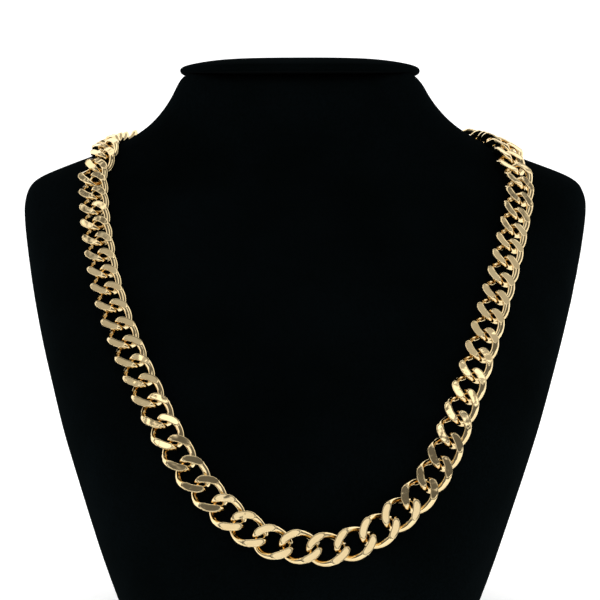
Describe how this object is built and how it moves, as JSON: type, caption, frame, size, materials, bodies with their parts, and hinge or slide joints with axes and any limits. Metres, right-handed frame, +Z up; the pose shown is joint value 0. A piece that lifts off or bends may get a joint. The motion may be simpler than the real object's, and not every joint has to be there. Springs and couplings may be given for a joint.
{
  "type": "curb chain necklace on a velvet neck bust",
  "caption": "Polished gold-coloured curb chain necklace, a whole closed loop with a plain box clasp, resting on a plain black velvet neck bust with a padded cap.",
  "frame": {"origin": "on the surface that the bust stands on, below the middle of the whole object's bounding box", "axes": "+X to the viewer's right across the shoulders, +Y away from the viewer towards the nape, +Z up"},
  "size_m": [0.2022, 0.1787, 0.1886],
  "materials": {
    "velvet": "matte black velvet pile",
    "gold_plate": "mirror polished gold plate"
  },
  "bodies": {
    "root": {"neck_bust": "velvet", "neck_cap": "velvet", "chain_left": "gold_plate", "chain_right": "gold_plate", "clasp": "gold_plate"}
  },
  "joints": []
}
